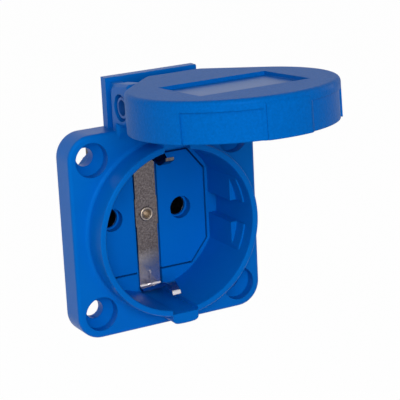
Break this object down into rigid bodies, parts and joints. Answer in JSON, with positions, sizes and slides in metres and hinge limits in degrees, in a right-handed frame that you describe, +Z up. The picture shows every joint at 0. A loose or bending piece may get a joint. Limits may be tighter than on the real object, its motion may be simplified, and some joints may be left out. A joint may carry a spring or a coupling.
{
  "type": "panel socket with hinged lid",
  "caption": "Square-flange earthed panel socket with round collar, side earth clips and a hinged round lid, standing open.",
  "frame": {"origin": "centre of the four mounting holes at the flange's rear face, which lies on the panel", "axes": "-Y towards the user, +Y into the panel, +Z up to the hinge, +X to the user's right"},
  "size_m": [0.05, 0.0912, 0.0667],
  "materials": {
    "blue_housing": "moulded blue polyamide, fine grain",
    "blue_lid": "moulded blue polyamide, fine grain, smooth label recess",
    "blue_pin": "moulded blue polyamide",
    "blue_insert": "moulded blue polyamide, satin",
    "dark_base": "moulded dark polyamide",
    "seal_rubber": "moulded rubber",
    "nickel_brass": "nickel-plated spring brass",
    "rivet_brass": "plain brass, rolled",
    "brass": "plain brass",
    "spring_steel": "bright spring steel",
    "zinc_steel": "zinc-plated steel"
  },
  "bodies": {
    "body": {"housing": "blue_housing", "hinge_pin": "blue_pin", "panel_seal": "seal_rubber", "contact_insert": "blue_insert", "terminal_base": "dark_base", "earth_strip": "nickel_brass", "earth_rivet": "rivet_brass", "earth_washer": "zinc_steel", "earth_terminal": "brass", "line_contact": "brass", "neutral_contact": "brass", "line_spring": "spring_steel", "neutral_spring": "spring_steel", "line_clamp": "zinc_steel", "neutral_clamp": "zinc_steel", "earth_clamp": "zinc_steel", "terminal_screws": "zinc_steel", "insert_screws": "zinc_steel", "base_screws": "zinc_steel"},
    "lid": {"lid": "blue_lid", "lid_seal": "seal_rubber"}
  },
  "joints": [
    {"name": "lid_hinge", "type": "hinge", "parent": "body", "child": "lid", "pos_m": [0, -0.00985, 0.031], "axis": [1, 0, 0], "range_deg": [0, 93.8]}
  ]
}
